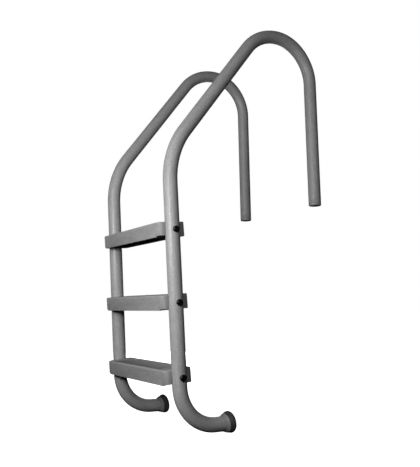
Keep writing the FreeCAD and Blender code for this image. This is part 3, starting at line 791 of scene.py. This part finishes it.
def round_rim(item, level, radius, segments):
    """Round the outline edge of a slab at one height."""
    work = bmesh.new()
    work.from_mesh(item.data)
    rim = []
    for edge in work.edges:
        if all(abs(vertex.co.z - level) < 1e-6 for vertex in edge.verts):
            rim.append(edge)
    bmesh.ops.bevel(
        work,
        geom=rim,
        offset=radius,
        segments=segments,
        profile=0.5,
        affect="EDGES",
        clamp_overlap=True,
    )
    work.to_mesh(item.data)
    work.free()


def node_centre(name):
    """The middle of a CAD node's box."""
    low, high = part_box(name)
    return (low + high) / 2


def make_treads():
    """Three copies of the tread, each turned square to the water legs."""
    pattern = tread_mesh()
    tilt = Matrix.Rotation(TREAD_TILT, 4, "X")
    for name in TREADS:
        mesh = pattern.copy()
        mesh.name = f"{name}_tread_moulding"
        mesh.transform(tilt)
        mesh.transform(Matrix.Translation(node_centre(f"{name}_tread")))
        new_piece(f"{name}_tread_moulding", mesh, TREAD, f"{name}_tread")


# ------------------------------------------------------------------------- fasteners


def make_caps():
    """The domed black caps over the tread bolts."""
    outer = 11 * MM
    high = 5.2 * MM
    cavity = 8.5 * MM
    deep = 3.9 * MM
    edge = 3.6 * MM
    ease = 0.3 * MM
    # Radius of each point of the dimple and how far below the top it lies, in mm.
    dimple = ((4.2, 0.1), (3.2, 0.0), (2.4, 0.15), (1.8, 0.5), (0, 0.6))
    profile = [(0, deep), (cavity, deep), (cavity, 0), (outer - ease, 0), (outer, ease)]
    profile += arc_points((outer - edge, high - edge), edge, 0, 80, 10)
    profile += [(radius * MM, high - below * MM) for radius, below in dimple]
    for tread in TREADS:
        for side_name, side in SIDES.items():
            node = f"{tread}_{side_name}_bolt_cap"
            low, high_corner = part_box(node)
            origin = (low + high_corner) / 2
            origin.x = low.x if side > 0 else high_corner.x
            mesh = turned(f"{node}_dome", profile, segments=64, sharp=40)
            mesh.transform(Matrix.Rotation(side * math.pi / 2, 4, "Y"))
            mesh.transform(Matrix.Translation(origin))
            new_piece(f"{node}_dome", mesh, BLACK, node)


def finish_fasteners():
    """The CAD bolts, nuts and washers stay and get their materials."""
    for name, node in nodes.items():
        if name.endswith(("_bolt", "_nut")):
            material = STEEL
        elif name.endswith("_saddle_washer"):
            material = BLACK
        else:
            continue
        node.data.materials.clear()
        node.data.materials.append(material)


for side_name in SIDES:
    make_rail(side_name)
    make_plug(side_name)
    make_bumper(side_name)
make_treads()
make_caps()
finish_fasteners()


# ------------------------------------------------------------ camera, light, floor

# The camera stands on the water side, a little below the deck, and looks slightly up.
# Its lens and sensor are in mm.
CAMERA_AT = Vector((1.7813, -1.5453, -0.3678))
CAMERA_AZIMUTH = 56.1
CAMERA_PITCH = 7.07
CAMERA_ROLL = -1.13
CAMERA_LENS = 43.0227
CAMERA_SENSOR = 36.0

FILL_STRENGTH = 0.01
FLOOR_GLOW = 1.02

# Name, place, target, size, power in watts, and whether it shows in reflections.
MIDDLE = (0.05, -0.45, -0.1)
LIGHTS = (
    ("high_key", (1.15, -2.2, 0.88), MIDDLE, (0.25, 1.2), 10.6, True),
    ("low_key", (0.9, -1.8, 0.0), MIDDLE, (0.3, 0.3), 12.8, True),
    ("front", (0.3, -1.6, -0.1), MIDDLE, (0.3, 0.3), 4.2, True),
    ("right", (1.9, -1.2, 0.3), MIDDLE, (0.6, 0.6), 5.8, True),
    ("back", (-2.2, 1.5, 0.1), MIDDLE, (1.6, 1.6), 75.0, False),
)


def direction(azimuth, pitch):
    """The way one looks at an azimuth (0 is +Y, 90 is -X) and a pitch, in degrees."""
    turn = math.radians(azimuth)
    rise = math.radians(pitch)
    level = math.cos(rise)
    return Vector((-math.sin(turn) * level, math.cos(turn) * level, math.sin(rise)))


def make_camera():
    data = bpy.data.cameras.new("camera")
    data.sensor_width = CAMERA_SENSOR
    data.lens = CAMERA_LENS
    camera = bpy.data.objects.new("camera", data)
    bpy.context.scene.collection.objects.link(camera)
    camera.location = CAMERA_AT
    camera.rotation_mode = "QUATERNION"
    level = direction(CAMERA_AZIMUTH, CAMERA_PITCH).to_track_quat("-Z", "Y")
    camera.rotation_quaternion = level @ Quaternion((0, 0, 1), math.radians(CAMERA_ROLL))
    bpy.context.scene.camera = camera


def make_light(name, place, target, size, power, glossy):
    """A soft box turned to a target, with or without a reflection of its own."""
    data = bpy.data.lights.new(name, "AREA")
    data.shape = "RECTANGLE"
    data.size, data.size_y = size
    data.energy = power
    lamp = bpy.data.objects.new(name, data)
    bpy.context.scene.collection.objects.link(lamp)
    lamp.location = place
    lamp.rotation_mode = "QUATERNION"
    lamp.rotation_quaternion = (Vector(target) - Vector(place)).to_track_quat("-Z", "Y")
    lamp.visible_glossy = glossy
    lamp.visible_camera = False


def make_world():
    """White behind the object, and a dim even fill on it."""
    world = bpy.data.worlds.new("studio")
    bpy.context.scene.world = world
    world.use_nodes = True
    tree = world.node_tree
    fill = tree.nodes["Background"]
    fill.inputs["Color"].default_value = (1, 1, 1, 1)
    fill.inputs["Strength"].default_value = FILL_STRENGTH
    white = tree.nodes.new("ShaderNodeBackground")
    white.inputs["Color"].default_value = (1, 1, 1, 1)
    seen = tree.nodes.new("ShaderNodeLightPath")
    choose = tree.nodes.new("ShaderNodeMixShader")
    tree.links.new(seen.outputs["Is Camera Ray"], choose.inputs[0])
    tree.links.new(fill.outputs[0], choose.inputs[1])
    tree.links.new(white.outputs[0], choose.inputs[2])
    tree.links.new(choose.outputs[0], tree.nodes["World Output"].inputs["Surface"])


def make_floor():
    """A floor under the feet, so bright that no shadow shows; it lights nothing."""
    level = cad_bounds[0][2] - 2 * MM
    half = 14.0
    corners = [(-half, -half), (half, -half), (half, half), (-half, half)]
    mesh = bpy.data.meshes.new("floor")
    mesh.from_pydata([(x, y, level) for x, y in corners], [], [(0, 1, 2, 3)])
    floor = bpy.data.objects.new("floor", mesh)
    bpy.context.scene.collection.objects.link(floor)
    shader = Shader("floor_paper", roughness=0.9, specular=0.0)
    shader.surface.inputs["Base Color"].default_value = grey(0.8)
    shader.surface.inputs["Emission Color"].default_value = (1, 1, 1, 1)
    shader.surface.inputs["Emission Strength"].default_value = FLOOR_GLOW
    mesh.materials.append(shader.material)
    floor.visible_diffuse = False
    floor.visible_glossy = False


make_camera()
for light in LIGHTS:
    make_light(*light)
make_world()
make_floor()
bpy.context.scene.view_settings.view_transform = "Standard"
